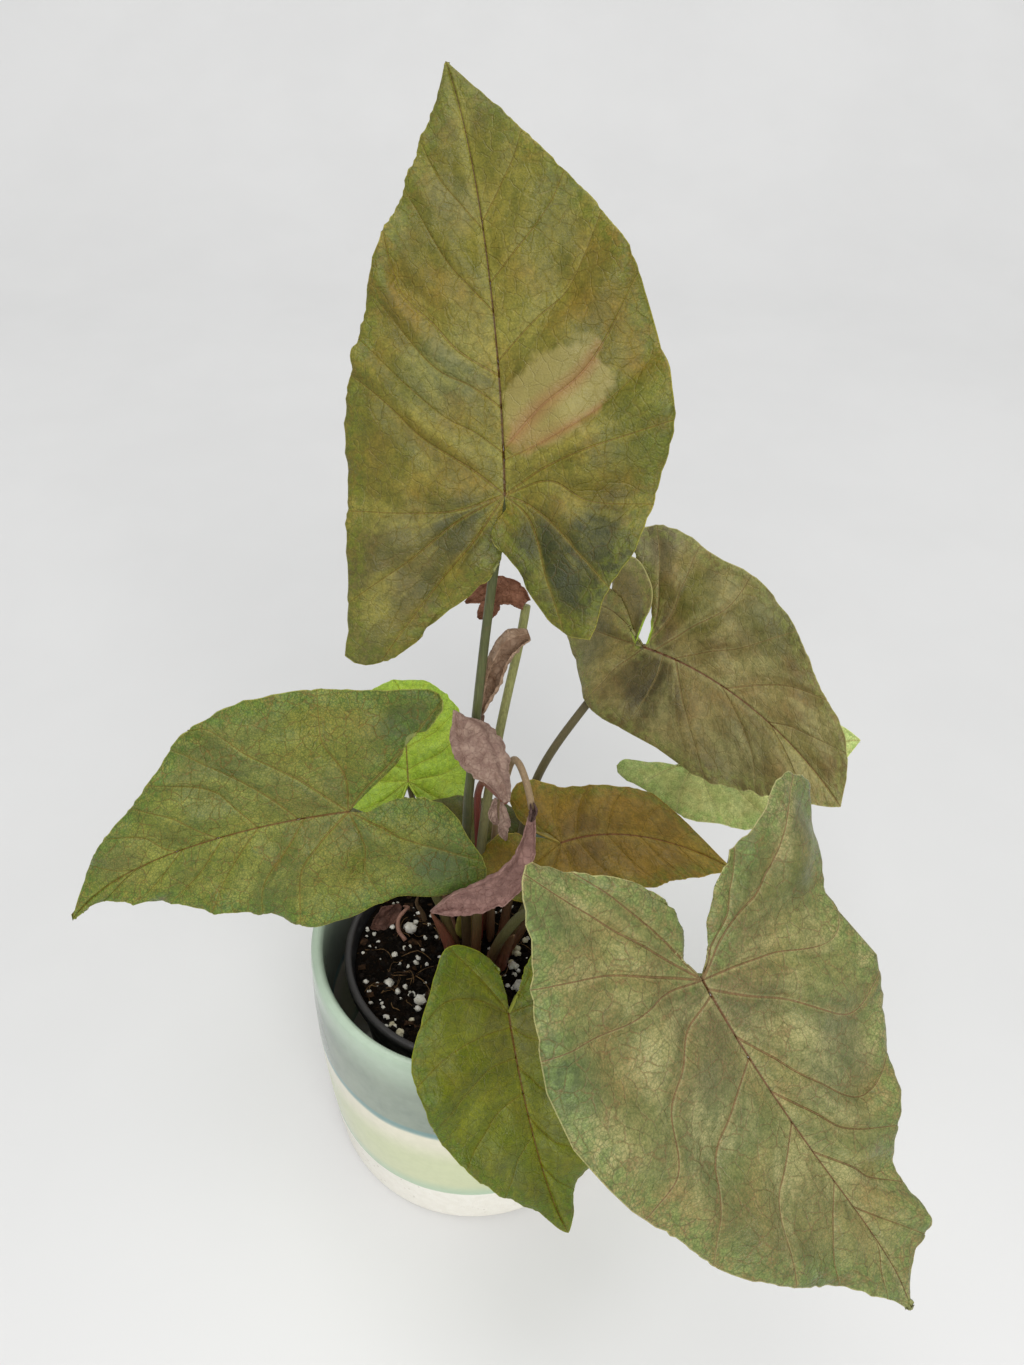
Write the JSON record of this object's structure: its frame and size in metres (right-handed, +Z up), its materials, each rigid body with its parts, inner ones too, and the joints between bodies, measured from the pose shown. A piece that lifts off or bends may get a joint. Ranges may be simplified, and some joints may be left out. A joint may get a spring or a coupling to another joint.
{
  "type": "potted arrowhead plant",
  "caption": "Arrowhead plant with lobed arrow-shaped leaves on slender stalks, in a nursery pot of soil that stands in a round glazed cover pot.",
  "frame": {"origin": "middle of the cover pot's flat foot, on the surface that it stands on", "axes": "+Z up; -Y towards the front, where the small and the front leaf hang over the rim; +X to the viewer's right"},
  "size_m": [0.3101, 0.2777, 0.4244],
  "materials": {
    "celadon_glaze": "glossy grey-green glaze, a thin blue line, pale yellow-green below it and a raw speckled clay foot",
    "black_plastic": "thin formed black plastic, dull",
    "potting_soil": null,
    "leaf_olive": "satin olive-green living leaf with reddish-brown veins and mottled thin margins",
    "leaf_green": "satin green living leaf with fine veins and mottling",
    "leaf_bronze": "satin bronze-brown living leaf with reddish veins",
    "leaf_lime": "bright yellow-green leaf, lit through from behind",
    "petiole": "smooth dark green to olive-brown stalk, reddish at its foot",
    "withering_stalk": "withering stalk, green, red or tan, finely striped along its length",
    "withered_blade": "dry curled leaf, pinkish brown, crinkled"
  },
  "bodies": {
    "root": {"cover_pot": "celadon_glaze", "nursery_pot": "black_plastic", "soil": "potting_soil", "leaf_top": "leaf_olive", "leaf_upper_right": "leaf_bronze", "leaf_behind": "leaf_green", "leaf_brown": "leaf_bronze", "leaf_dark": "leaf_green", "leaf_left": "leaf_green", "leaf_lime": "leaf_lime", "leaf_small": "leaf_olive", "leaf_front": "leaf_olive", "petiole_top": "petiole", "petiole_upper_right": "petiole", "petiole_behind": "petiole", "petiole_brown": "petiole", "petiole_dark": "petiole", "petiole_left": "petiole", "petiole_lime": "petiole", "petiole_small": "petiole", "petiole_front": "petiole", "stalk_upper": "withering_stalk", "stalk_rolled": "withering_stalk", "stalk_middle": "withering_stalk", "stalk_hanging": "withering_stalk", "withered_upper": "withered_blade", "withered_rolled": "withered_blade", "withered_middle": "withered_blade", "withered_hanging": "withered_blade", "withered_on_soil": "withered_blade"}
  },
  "joints": []
}
